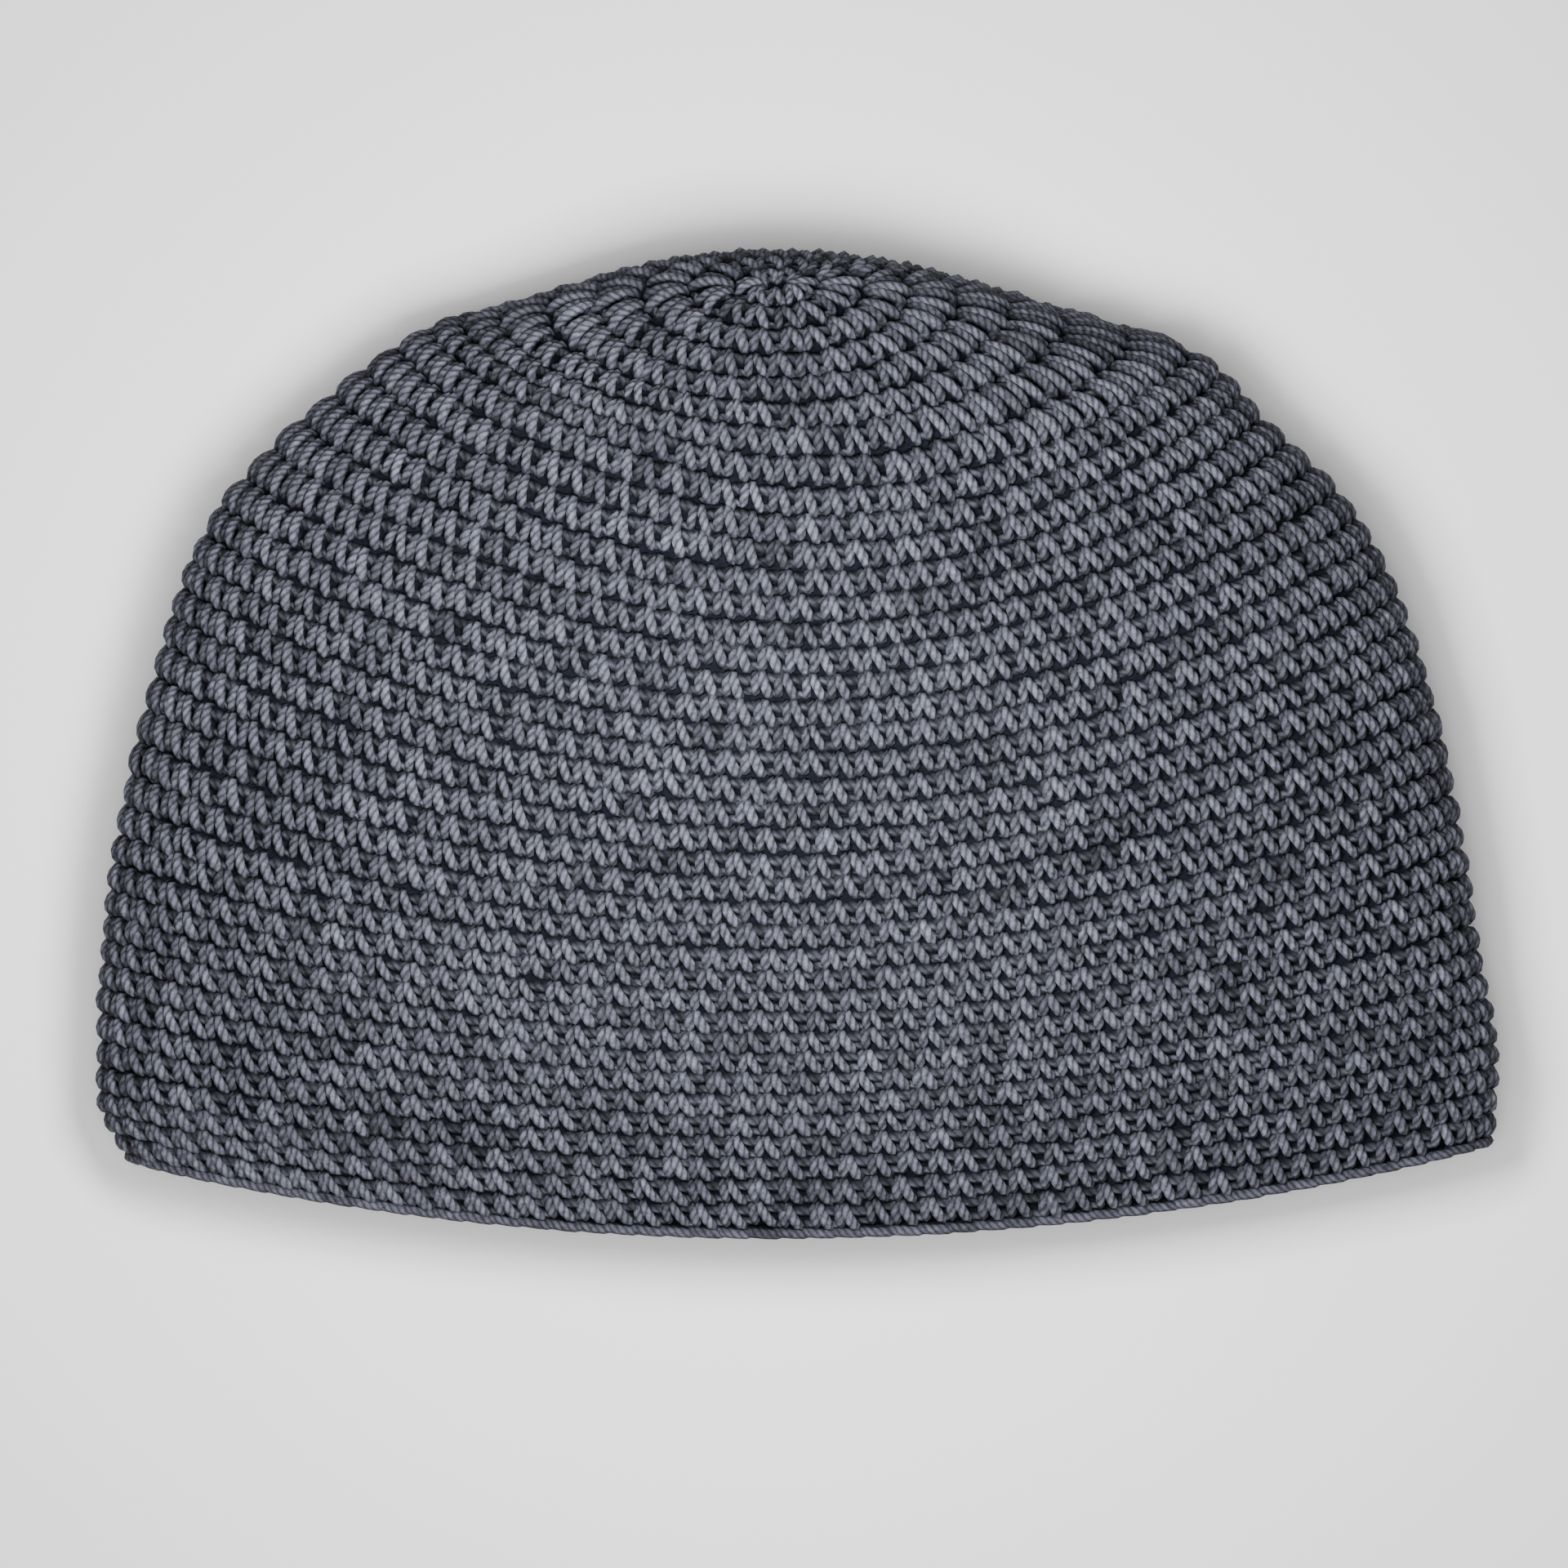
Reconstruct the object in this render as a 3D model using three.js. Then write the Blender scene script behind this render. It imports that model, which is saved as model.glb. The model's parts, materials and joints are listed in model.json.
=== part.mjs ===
// A crocheted kufi: a brimless cap, worked in rounds from the middle of the crown down to the rim.
// It lies on its back half, as a soft cap is laid down, with its crown towards +Y, its mouth
// towards -Y and its front half puffed up over the hollow where the head goes in.
// Millimetres. X runs across the cap, Z is up, and the origin is under the middle of its box.

import * as THREE from 'three';
import { ParametricGeometry } from 'three/addons/geometries/ParametricGeometry.js';
import { mergeVertices } from 'three/addons/utils/BufferGeometryUtils.js';

// Driving dimensions.
const HALF_WIDTH = 135.2; // from the middle to a side fold, at the widest level
const LENGTH = 190.4; // from the top fold to the lip at the middle of the front
const HEIGHT = 56; // from the ground to the top of the puffed front
const FABRIC = 4; // thickness of the crocheted fabric
const EDGE_THICKNESS = 3.2; // the finishing round at the lip, across the fabric
const EDGE_DEPTH = 2.6; // the same round, along the fabric
const SEAM_GAP = 0.3; // between the fabric and its finishing round

// How finely the surfaces are divided.
const AROUND = 72; // steps around every level
const OUTSIDE_STEPS = 30; // levels of the outer surface
const INSIDE_STEPS = 22; // levels of the inner surface
const EDGE_ARC_STEPS = 5; // steps over the rounded bottom of the finishing round
const PROBE = 1e-3; // a small step along the surface, to find its slope
const POLE_LEVEL = 0.02; // a level near the crown's middle, whose slope serves for the middle itself

// The cap at twelve levels, from the crown's middle at 0 to the lip at 1. Each level is a ring:
// left and right are how far its ends lie from the middle, in shares of HALF_WIDTH. The four downs
// are how far it lies below the top fold at its left end, right end, front middle and back middle,
// in shares of LENGTH. The ups are its heights at the ends, the front and the back, in shares of
// HEIGHT. bow is how far its plan is an oval and not a parabola, fold is the share of its front
// rise that the side folds make, and turn is the share of its half width that they take.
const LEVELS = [
  { level: 0.0, left: 0.031, right: -0.031, leftDown: 0.034, rightDown: 0.034, frontDown: 0.034,
    backDown: 0.034, endUp: 0.732, frontUp: 0.732, backUp: 0.732, bow: 1.0, fold: 1.0, turn: 1.0 },
  { level: 0.051, left: 0.159, right: 0.096, leftDown: 0.038, rightDown: 0.038, frontDown: 0.083,
    backDown: 0.008, endUp: 0.705, frontUp: 0.848, backUp: 0.582, bow: 0.95, fold: 0.93, turn: 1.0 },
  { level: 0.103, left: 0.293, right: 0.23, leftDown: 0.05, rightDown: 0.049, frontDown: 0.134,
    backDown: 0.0, endUp: 0.616, frontUp: 0.92, backUp: 0.405, bow: 0.8, fold: 0.85, turn: 0.9 },
  { level: 0.154, left: 0.426, right: 0.387, leftDown: 0.066, rightDown: 0.07, frontDown: 0.184,
    backDown: 0.014, endUp: 0.473, frontUp: 0.964, backUp: 0.234, bow: 0.5, fold: 0.75, turn: 0.6 },
  { level: 0.205, left: 0.524, right: 0.559, leftDown: 0.077, rightDown: 0.1, frontDown: 0.243,
    backDown: 0.046, endUp: 0.384, frontUp: 0.993, backUp: 0.098, bow: 0.25, fold: 0.6, turn: 0.36 },
  { level: 0.282, left: 0.662, right: 0.662, leftDown: 0.143, rightDown: 0.167, frontDown: 0.327,
    backDown: 0.117, endUp: 0.366, frontUp: 1.0, backUp: 0.0, bow: 0.1, fold: 0.52, turn: 0.25 },
  { level: 0.385, left: 0.822, right: 0.797, leftDown: 0.257, rightDown: 0.27, frontDown: 0.43,
    backDown: 0.223, endUp: 0.357, frontUp: 0.982, backUp: 0.0, bow: 0.0, fold: 0.5, turn: 0.19 },
  { level: 0.513, left: 0.904, right: 0.884, leftDown: 0.398, rightDown: 0.406, frontDown: 0.559,
    backDown: 0.355, endUp: 0.339, frontUp: 0.938, backUp: 0.0, bow: 0.0, fold: 0.5, turn: 0.165 },
  { level: 0.667, left: 0.97, right: 0.941, leftDown: 0.589, rightDown: 0.576, frontDown: 0.703,
    backDown: 0.513, endUp: 0.321, frontUp: 0.857, backUp: 0.0, bow: 0.0, fold: 0.52, turn: 0.15 },
  { level: 0.821, left: 0.994, right: 0.977, leftDown: 0.744, rightDown: 0.73, frontDown: 0.829,
    backDown: 0.671, endUp: 0.304, frontUp: 0.75, backUp: 0.0, bow: 0.0, fold: 0.56, turn: 0.14 },
  { level: 0.923, left: 0.997, right: 0.997, leftDown: 0.848, rightDown: 0.822, frontDown: 0.914,
    backDown: 0.777, endUp: 0.295, frontUp: 0.643, backUp: 0.0, bow: 0.0, fold: 0.62, turn: 0.135 },
  { level: 1.0, left: 0.963, right: 0.993, leftDown: 0.913, rightDown: 0.895, frontDown: 0.988,
    backDown: 0.856, endUp: 0.268, frontUp: 0.509, backUp: 0.0, bow: 0.0, fold: 0.7, turn: 0.12 },
];

// One column of the table at any level, on a smooth curve through the rows.
function at(level, column) {
  const last = LEVELS.length - 2;
  const row = Math.min(last, Math.max(0, LEVELS.findIndex((r) => r.level > level) - 1));
  const i = level >= 1 ? last : row;
  const slope = (j) => {
    const a = LEVELS[Math.max(0, j - 1)];
    const b = LEVELS[Math.min(last + 1, j + 1)];
    const turnsBack = (b[column] - LEVELS[j][column]) * (LEVELS[j][column] - a[column]) <= 0;
    const isEnd = j === 0 || j === last + 1;
    return turnsBack && !isEnd ? 0 : (b[column] - a[column]) / (b.level - a.level);
  };
  const from = LEVELS[i];
  const to = LEVELS[i + 1];
  const step = to.level - from.level;
  const s = (level - from.level) / step;
  const low = from[column] * (1 + 2 * s) * (1 - s) ** 2 + to[column] * s * s * (3 - 2 * s);
  return low + step * (slope(i) * s * (1 - s) ** 2 - slope(i + 1) * s * s * (1 - s));
}

// A point of the outer surface. Angle 0 is the right end, a quarter turn the middle of the front,
// and three quarters the middle of the back.
function outerPoint(level, angle) {
  const across = Math.cos(angle);
  const isFront = Math.sin(angle) >= 0;
  const get = (column) => at(level, column);

  const left = get('left');
  const right = get('right');
  const middleDown = (get('leftDown') + get('rightDown')) / 2;
  const slantDown = (get('rightDown') - get('leftDown')) / 2;
  const bow = get('bow');
  const parabola = 1 - across ** 2;
  const plan = bow * Math.sqrt(parabola) + (1 - bow) * parabola;
  const reach = get(isFront ? 'frontDown' : 'backDown') - middleDown;
  const down = middleDown + slantDown * across + reach * plan;

  const intoTurn = Math.min(1, (1 - Math.abs(across)) / get('turn'));
  const turned = Math.sqrt(intoTurn * (2 - intoTurn));
  const fold = get('fold');
  const endUp = get('endUp');
  const up = isFront
    ? endUp + (get('frontUp') - endUp) * (fold * turned + (1 - fold) * parabola)
    : endUp - (endUp - get('backUp')) * turned;

  return new THREE.Vector3(
    HALF_WIDTH * ((right - left) / 2 + ((right + left) / 2) * across),
    LENGTH * (0.5 - down),
    HEIGHT * up,
  );
}

// Which way the surface runs towards the lip, and which way is out of it.
function directions(level, angle) {
  const here = Math.max(level, POLE_LEVEL);
  const towardsLip = outerPoint(here + PROBE, angle).sub(outerPoint(here - PROBE, angle)).normalize();
  const around = outerPoint(here, angle + PROBE).sub(outerPoint(here, angle - PROBE)).normalize();
  return { towardsLip, out: new THREE.Vector3().crossVectors(around, towardsLip).normalize() };
}

// The way out at the crown's middle, from two lines that cross there.
function crownOut() {
  const lengthways = outerPoint(POLE_LEVEL, Math.PI / 2).sub(outerPoint(POLE_LEVEL, -Math.PI / 2));
  const across = outerPoint(POLE_LEVEL, 0).sub(outerPoint(POLE_LEVEL, Math.PI));
  return across.cross(lengthways).normalize().negate();
}

const CROWN_OUT = crownOut();

// A point of the inner surface, one fabric thickness in from the outer one.
function innerPoint(level, angle) {
  const out = level === 0 ? CROWN_OUT : directions(level, angle).out;
  return outerPoint(level, angle).addScaledVector(out, -FABRIC);
}

// A closed surface as a mesh, with the doubled points along its seams and poles merged.
function closedMesh(name, pointAt, aroundSteps, alongSteps, material) {
  const surface = new ParametricGeometry(
    (u, v, target) => target.copy(pointAt(u, v)),
    aroundSteps,
    alongSteps,
  );
  surface.deleteAttribute('normal');
  surface.deleteAttribute('uv');
  const merged = mergeVertices(surface, 1e-3);
  const corners = merged.index.array;
  const kept = [];
  for (let i = 0; i < corners.length; i += 3) {
    const [a, b, c] = [corners[i], corners[i + 1], corners[i + 2]];
    if (a !== b && b !== c && a !== c) kept.push(a, b, c);
  }
  merged.setIndex(kept);
  merged.computeVertexNormals();
  const mesh = new THREE.Mesh(merged, material);
  mesh.name = name;
  return mesh;
}

// The crocheted cap: down the outside from the crown's middle to the lip, and up the inside again.
function capShell(material) {
  const steps = OUTSIDE_STEPS + 1 + INSIDE_STEPS;
  const pointAt = (u, v) => {
    const angle = 2 * Math.PI * u;
    const step = Math.round(v * steps);
    if (step <= OUTSIDE_STEPS) return outerPoint(step / OUTSIDE_STEPS, angle);
    return innerPoint((steps - step) / INSIDE_STEPS, angle);
  };
  return closedMesh('cap_shell', pointAt, AROUND, steps, material);
}

// The finishing round: a strip around the lip, flat against the fabric and rounded below.
function edgeRound(material) {
  const section = [new THREE.Vector2(EDGE_THICKNESS / 2, SEAM_GAP)];
  for (let i = 0; i <= EDGE_ARC_STEPS; i += 1) {
    const turn = (Math.PI * i) / EDGE_ARC_STEPS;
    const straight = SEAM_GAP + EDGE_DEPTH / 2;
    section.push(new THREE.Vector2(
      (Math.cos(turn) * EDGE_THICKNESS) / 2,
      straight + (Math.sin(turn) * EDGE_DEPTH) / 2,
    ));
  }
  section.push(new THREE.Vector2(-EDGE_THICKNESS / 2, SEAM_GAP));
  const pointAt = (u, v) => {
    const angle = 2 * Math.PI * u;
    const corner = section[Math.round(v * section.length) % section.length];
    const { towardsLip, out } = directions(1, angle);
    return outerPoint(1, angle)
      .addScaledVector(out, corner.x - FABRIC / 2)
      .addScaledVector(towardsLip, corner.y);
  };
  return closedMesh('edge_round', pointAt, AROUND, section.length, material);
}

const yarn = new THREE.MeshStandardMaterial({ color: 0x5d606b, roughness: 0.95, metalness: 0 });
const edgeYarn = new THREE.MeshStandardMaterial({ color: 0x565a68, roughness: 0.95, metalness: 0 });

const group = new THREE.Group();
group.add(capShell(yarn));
group.add(edgeRound(edgeYarn));

export default group;
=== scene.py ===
# %% [markdown]
# # A crocheted kufi, stitch by stitch
# The cap is one fabric of single crochet, worked in rounds from the middle of the crown down to
# the rim. It is soft, and lies on its back half as it was laid down. It could be a smooth shell
# with a pattern of stitches on it, but that would look flat at the outline. So every stitch here
# is real yarn: short lengths of it are bent over the cap's own surface, round by round, as a hook
# would lay them.

# %% Load the frame
import json
import math

import bmesh
import bpy
import numpy as np
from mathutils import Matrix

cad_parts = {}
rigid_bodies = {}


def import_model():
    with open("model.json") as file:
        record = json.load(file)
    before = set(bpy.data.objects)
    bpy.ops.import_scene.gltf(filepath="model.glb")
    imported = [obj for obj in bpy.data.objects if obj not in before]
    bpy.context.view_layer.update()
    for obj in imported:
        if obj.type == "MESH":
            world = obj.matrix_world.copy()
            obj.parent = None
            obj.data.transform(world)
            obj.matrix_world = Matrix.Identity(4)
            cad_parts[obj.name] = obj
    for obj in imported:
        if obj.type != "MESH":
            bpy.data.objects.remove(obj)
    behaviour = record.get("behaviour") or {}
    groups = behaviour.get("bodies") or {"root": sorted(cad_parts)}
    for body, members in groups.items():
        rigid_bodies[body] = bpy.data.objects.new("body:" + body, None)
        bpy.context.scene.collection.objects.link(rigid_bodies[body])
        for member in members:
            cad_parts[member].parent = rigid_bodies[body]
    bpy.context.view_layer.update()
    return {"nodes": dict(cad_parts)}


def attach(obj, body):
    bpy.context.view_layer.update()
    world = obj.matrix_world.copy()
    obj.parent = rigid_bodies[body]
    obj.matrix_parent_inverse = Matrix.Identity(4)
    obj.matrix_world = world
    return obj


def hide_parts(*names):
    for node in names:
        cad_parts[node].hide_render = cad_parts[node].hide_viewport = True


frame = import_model()
print("solids to dress:", sorted(frame["nodes"]))

# %% [markdown]
# The form of the cap comes first, because the stitches need something to follow. It could be
# sculpted, but then nobody could say where a round lies. Here it is worked out from twelve rings,
# as in the solid. The level of a ring is 0 at the crown's middle and 1 at the lip. left and right
# say how far its ends lie from the middle, in shares of the half width. The four downs say how far
# below the top fold its ends, front and back lie, in shares of the length, and the ups say how
# high, in shares of the height. bow is how far its plan is an oval and not a parabola. fold is the
# share of the front's rise that the side folds make, and turn how much of the width they take.

# %% The rings that give the cap its form, in metres and shares
HALF_WIDTH = 0.1352
LENGTH = 0.1904
HEIGHT = 0.056

COLUMN_NAMES = (
    "level left right left_down right_down front_down back_down end_up front_up back_up bow fold turn"
).split()
RINGS = np.array(
    [
        (0.0, 0.031, -0.031, 0.034, 0.034, 0.034, 0.034, 0.732, 0.732, 0.732, 1.0, 1.0, 1.0),
        (0.051, 0.159, 0.096, 0.038, 0.038, 0.083, 0.008, 0.705, 0.848, 0.582, 0.95, 0.93, 1.0),
        (0.103, 0.293, 0.23, 0.05, 0.049, 0.134, 0.0, 0.616, 0.92, 0.405, 0.8, 0.85, 0.9),
        (0.154, 0.426, 0.387, 0.066, 0.07, 0.184, 0.014, 0.473, 0.964, 0.234, 0.5, 0.75, 0.6),
        (0.205, 0.524, 0.559, 0.077, 0.1, 0.243, 0.046, 0.384, 0.993, 0.098, 0.25, 0.6, 0.36),
        (0.282, 0.662, 0.662, 0.143, 0.167, 0.327, 0.117, 0.366, 1.0, 0.0, 0.1, 0.52, 0.25),
        (0.385, 0.822, 0.797, 0.257, 0.27, 0.43, 0.223, 0.357, 0.982, 0.0, 0.0, 0.5, 0.19),
        (0.513, 0.904, 0.884, 0.398, 0.406, 0.559, 0.355, 0.339, 0.938, 0.0, 0.0, 0.5, 0.165),
        (0.667, 0.97, 0.941, 0.589, 0.576, 0.703, 0.513, 0.321, 0.857, 0.0, 0.0, 0.52, 0.15),
        (0.821, 0.994, 0.977, 0.744, 0.73, 0.829, 0.671, 0.304, 0.75, 0.0, 0.0, 0.56, 0.14),
        (0.923, 0.997, 0.997, 0.848, 0.822, 0.914, 0.777, 0.295, 0.643, 0.0, 0.0, 0.62, 0.135),
        (1.0, 0.963, 0.993, 0.913, 0.895, 0.988, 0.856, 0.268, 0.509, 0.0, 0.0, 0.7, 0.12),
    ]
)
COLUMN = {name: RINGS[:, i] for i, name in enumerate(COLUMN_NAMES)}
LEVELS = COLUMN["level"]
print("rings:", len(RINGS))

# %% [markdown]
# Between the rings, every number follows a smooth curve. Straight steps would show as creases
# around the cap. The curve runs level at a ring where the numbers turn back, which keeps it from
# swinging past them.


# %% A smooth curve through each column
def slopes_of(values):
    """The curve's slope at each ring, level where the column turns back."""
    slopes = np.empty_like(values)
    slopes[1:-1] = (values[2:] - values[:-2]) / (LEVELS[2:] - LEVELS[:-2])
    slopes[0] = (values[1] - values[0]) / (LEVELS[1] - LEVELS[0])
    slopes[-1] = (values[-1] - values[-2]) / (LEVELS[-1] - LEVELS[-2])
    turns_back = (values[2:] - values[1:-1]) * (values[1:-1] - values[:-2]) <= 0
    slopes[1:-1][turns_back] = 0
    return slopes


SLOPE = {name: slopes_of(values) for name, values in COLUMN.items()}


def at(level, name):
    """One column's value at any level."""
    row = np.clip(np.searchsorted(LEVELS, level, side="right") - 1, 0, len(LEVELS) - 2)
    step = LEVELS[row + 1] - LEVELS[row]
    s = (level - LEVELS[row]) / step
    value, slope = COLUMN[name], SLOPE[name]
    plain = value[row] * (1 + 2 * s) * (1 - s) ** 2 + value[row + 1] * s * s * (3 - 2 * s)
    return plain + step * (slope[row] * s * (1 - s) ** 2 - slope[row + 1] * s * s * (1 - s))


print("height of the front halfway down, in metres:", round(float(at(0.5, "front_up")) * HEIGHT, 4))

# %% [markdown]
# Each point of the surface has a level and an angle. Seen from above, a ring is two arcs between
# its left and right ends, one over the front and one under the back. Cut across, the back of the
# cap lies flat, and its front rises in two quarter turns at the folds with a low arch between.


# %% The outer surface of the cap
def surface(level, angle):
    """Points of the outer surface. Angle 0 is the right end and a quarter turn the front's middle."""
    level, angle = np.broadcast_arrays(np.asarray(level, float), np.asarray(angle, float))
    across = np.cos(angle)
    is_front = np.sin(angle) >= 0
    left, right = at(level, "left"), at(level, "right")
    left_down, right_down = at(level, "left_down"), at(level, "right_down")
    middle_down = (left_down + right_down) / 2
    parabola = 1 - across**2
    bow = at(level, "bow")
    plan = bow * np.sqrt(parabola) + (1 - bow) * parabola
    arc = np.where(is_front, at(level, "front_down"), at(level, "back_down")) - middle_down
    down = middle_down + (right_down - left_down) / 2 * across + arc * plan

    into_turn = np.minimum(1, (1 - np.abs(across)) / at(level, "turn"))
    turned = np.sqrt(into_turn * (2 - into_turn))
    fold, end_up = at(level, "fold"), at(level, "end_up")
    front_up = end_up + (at(level, "front_up") - end_up) * (fold * turned + (1 - fold) * parabola)
    back_up = end_up - (end_up - at(level, "back_up")) * turned
    x = HALF_WIDTH * ((right - left) / 2 + (right + left) / 2 * across)
    y = LENGTH * (0.5 - down)
    z = HEIGHT * np.where(is_front, front_up, back_up)
    return np.stack([x, y, z], axis=-1)


lip_ends = surface(1, [0.0, math.pi])
print("width at the lip in metres:", round(float(lip_ends[0][0] - lip_ends[1][0]), 4))

# %% [markdown]
# Yarn lies on the surface and rises out of it, so the way out is needed too. It is square to two
# short steps over the surface, one down and one around.

# %% The way out of the fabric
PROBE = 1e-3  # a short step, in levels, in radians or in shares of the way around
POLE_LEVEL = 0.012  # nearer to the crown's middle than this, the steps are too short to measure
SHORTEST = 1e-12  # keeps a vector without length from being divided by zero


def unit(vectors):
    """The same directions, all of length 1."""
    return vectors / np.maximum(np.linalg.norm(vectors, axis=-1, keepdims=True), SHORTEST)


def outward(level, angle):
    """Which way is out of the fabric."""
    level = np.clip(level, POLE_LEVEL, 1)
    down = surface(level + PROBE, angle) - surface(level - PROBE, angle)
    around = surface(level, angle + PROBE) - surface(level, angle - PROBE)
    return unit(np.cross(around, down))


print("out of the front halfway down:", outward(0.5, math.pi / 2).round(2).tolist())

# %% [markdown]
# Crochet stitches are all about as wide as each other, so a round is shared out by its real
# length. Equal angles would crowd them at the folds. For a fine set of levels, the length around
# is added up once, and turned into a table that gives the angle for any share of the way around.
# Shares start at the middle of the back and run to the right, as seen from outside.

# %% Share out every ring by its real length
ROUNDS = 39
LEVEL_STEPS = ROUNDS * 6  # six levels to a round
RING_STEPS = 1440
SHARE_STEPS = 720
START = 1.5 * math.pi
SMALLEST_RING = 1e-4  # the level that serves for the crown's middle, where a ring has no length

ring_levels = np.linspace(0, 1, LEVEL_STEPS + 1)
ring_angles = START - np.linspace(0, 2 * math.pi, RING_STEPS + 1)
ring_lengths = np.empty(LEVEL_STEPS + 1)
shares = np.linspace(0, 1, SHARE_STEPS + 1)
even_angles = START - 2 * math.pi * shares
turn_table = np.empty((LEVEL_STEPS + 1, SHARE_STEPS + 1))
for row, level in enumerate(ring_levels):
    ring = surface(max(level, SMALLEST_RING), ring_angles)
    run = np.concatenate([[0], np.cumsum(np.linalg.norm(np.diff(ring, axis=0), axis=1))])
    ring_lengths[row] = run[-1]
    turn_table[row] = np.interp(shares, run / run[-1], ring_angles) - even_angles
print("round at the rim in metres:", round(float(ring_lengths[-1]), 3))

# %% [markdown]
# With that table, any place in the fabric can be named as a knitter or crocheter would: which
# round, how far around it, and how far out of the fabric.


# %% Find any place in the fabric
def angle_at(level, share):
    """The angle that lies this share of the way around a ring, between the rows of the table."""
    row = np.clip(level, 0, 1) * LEVEL_STEPS
    low = np.minimum(row.astype(int), LEVEL_STEPS - 1)
    up = row - low
    column = (share % 1) * SHARE_STEPS
    left = np.minimum(column.astype(int), SHARE_STEPS - 1)
    over = column - left
    above = turn_table[low, left] * (1 - over) + turn_table[low, left + 1] * over
    below = turn_table[low + 1, left] * (1 - over) + turn_table[low + 1, left + 1] * over
    return START - 2 * math.pi * share + above * (1 - up) + below * up


def on_fabric(level, share, lift):
    """A place this far out of the outer surface, and the way out. Past the lip it goes straight on."""
    angle = angle_at(level, share)
    inside = np.clip(level, 0, 1)
    place = surface(inside, angle)
    out = outward(inside, angle)
    slope = (surface(1.0, angle) - surface(1 - PROBE, angle)) / PROBE
    return place + slope * (level - inside)[..., None] + out * lift[..., None], out


half = np.array([0.5])
front_middle = on_fabric(half, half, np.zeros(1))[0][0]
print("middle of the front in metres:", front_middle.round(3).tolist())

# %% [markdown]
# The crown starts with a few stitches and gains some in every round until the cap is as wide as
# the head. From there on the number stays the same, which is why the side is a tube. Each round
# starts a sixth of a stitch further left than the one above, because a single crochet sits a
# little to one side of the stitch it is worked into. That makes the columns lean.

# %% Count the stitches of each round
STITCH_WIDTH = 0.00507  # in metres
FEWEST_STITCHES = 8
MOST_STITCHES = 102
LEAN = -0.17  # in stitches, from one round to the next

middle_lengths = np.interp((np.arange(ROUNDS) + 0.5) / ROUNDS, ring_levels, ring_lengths)
stitch_count = np.round(middle_lengths / STITCH_WIDTH).astype(int)
stitch_count = np.clip(np.maximum.accumulate(stitch_count), FEWEST_STITCHES, MOST_STITCHES)
starts = np.zeros(ROUNDS)
for k in range(1, ROUNDS):
    starts[k] = starts[k - 1] * stitch_count[k] / stitch_count[k - 1] + LEAN
print("stitches:", int(stitch_count.sum()), "by round:", stitch_count.tolist())

# %% [markdown]
# A single crochet is one yarn, drawn up as an upside-down V with a chain lying over its top. It
# could be one long path, but short lengths are easier to place and need fewer faces. Five of them
# make it here: a long right leg that leans out to the right and stands highest, a left leg that is
# nearly upright, the front loop of the chain that shows as a small dash at the left leg's foot,
# the loop behind that closes the gap to the next stitch, and the bar that shows inside the cap.
# Each point of a path has a place across and down, in shares of the stitch, and the height of the
# yarn's middle out of the outer face, in millimetres. THICKNESS is in shares of the yarn's own. The
# brightness step of each length is added to the tone of the stitch as painted light and shade: the
# right leg, which stands out most, is painted lightest, and the loop behind it darkest.

# %% The paths of the yarn in one stitch
PATHS = {
    "right_leg": [
        (-0.14, 0.03, -2.6),
        (-0.09, 0.14, -1.45),
        (0.03, 0.34, -0.85),
        (0.16, 0.54, -0.65),
        (0.29, 0.74, -0.9),
        (0.39, 0.88, -1.7),
        (0.45, 0.97, -2.8),
    ],
    "left_leg": [
        (-0.32, 0.06, -2.6),
        (-0.31, 0.2, -1.5),
        (-0.28, 0.4, -1.0),
        (-0.24, 0.6, -0.95),
        (-0.21, 0.77, -1.5),
        (-0.19, 0.9, -2.8),
    ],
    "front_loop": [
        (-0.7, 0.86, -2.5),
        (-0.57, 0.8, -1.9),
        (-0.42, 0.78, -1.65),
        (-0.24, 0.81, -1.85),
        (-0.08, 0.86, -2.5),
    ],
    "under_loop": [(0.02, 0.36, -2.4), (0.3, 0.26, -1.7), (0.62, 0.28, -1.7), (0.9, 0.42, -2.4)],
    "back_bar": [(-0.55, 0.7, -2.7), (-0.2, 0.62, -2.8), (0.2, 0.62, -2.8), (0.55, 0.7, -2.7)],
}
THICKNESS = {
    "right_leg": 1.0,
    "left_leg": 0.95,
    "front_loop": 0.8,
    "under_loop": 1.1,
    "back_bar": 1.05,
}
# Painted light and shade for each length of the same yarn, added to the stitch's tone
PAINTED_LIGHT_STEP = {
    "right_leg": 1.0,
    "left_leg": -0.4,
    "front_loop": 0.2,
    "under_loop": -1.0,
    "back_bar": 0.0,
}
print("lengths of yarn in a stitch:", list(PATHS))

# %% [markdown]
# Every length starts as the same thing: a straight rod with one ring of corners for each point of
# its path. It has six sides, or five where it lies behind the others, because there are thousands
# of them and smooth shading rounds them. It is made once with bmesh and read into plain arrays. The
# UV map runs once around the yarn and along it, so the plies can follow it wherever it bends.

# %% A straight rod of yarn
SIDES = 6
SIDES_BEHIND = 5
BEHIND = ("under_loop", "back_bar")


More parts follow.
